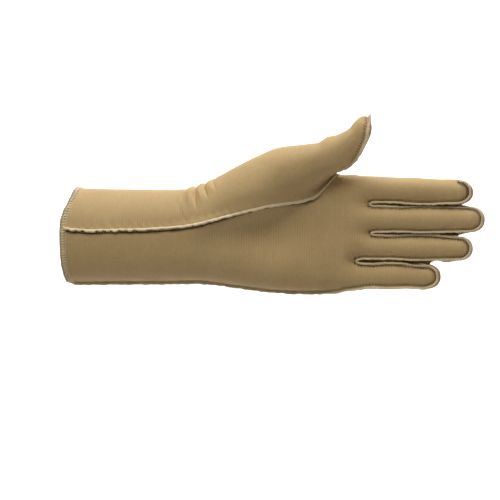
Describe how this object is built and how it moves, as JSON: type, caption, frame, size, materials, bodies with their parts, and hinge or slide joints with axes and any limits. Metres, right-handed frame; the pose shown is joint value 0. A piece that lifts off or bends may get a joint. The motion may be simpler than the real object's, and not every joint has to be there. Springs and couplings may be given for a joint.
{
  "type": "compression glove",
  "caption": "Left-hand full-finger compression glove with a long cuff, outside seams, a wrist-to-thumb panel and side strips between the fingers, hollow and open at the wrist.",
  "frame": {"origin": "centre of the cuff's mouth, where the wearer's wrist fills the glove", "axes": "+X along the hand from the cuff to the fingertips, +Z towards the thumb side, the palm faces -Y"},
  "size_m": [0.267, 0.0512, 0.1113],
  "materials": {
    "fabric": "fine stretch knit, matt with a faint sheen",
    "thread": "overlocked textured thread, matt"
  },
  "bodies": {
    "root": {"hand_panel": "fabric", "thumb_panel": "fabric", "fourchette_index_middle": "fabric", "fourchette_middle_ring": "fabric", "fourchette_ring_little": "fabric", "cuff_edge": "thread", "seam_thumb_palm": "thread", "seam_thumb_back": "thread", "seam_thumb_side": "thread", "seam_fingers_palm": "thread", "seam_back_index_middle": "thread", "seam_back_middle_ring": "thread", "seam_back_ring_little": "thread"}
  },
  "joints": []
}
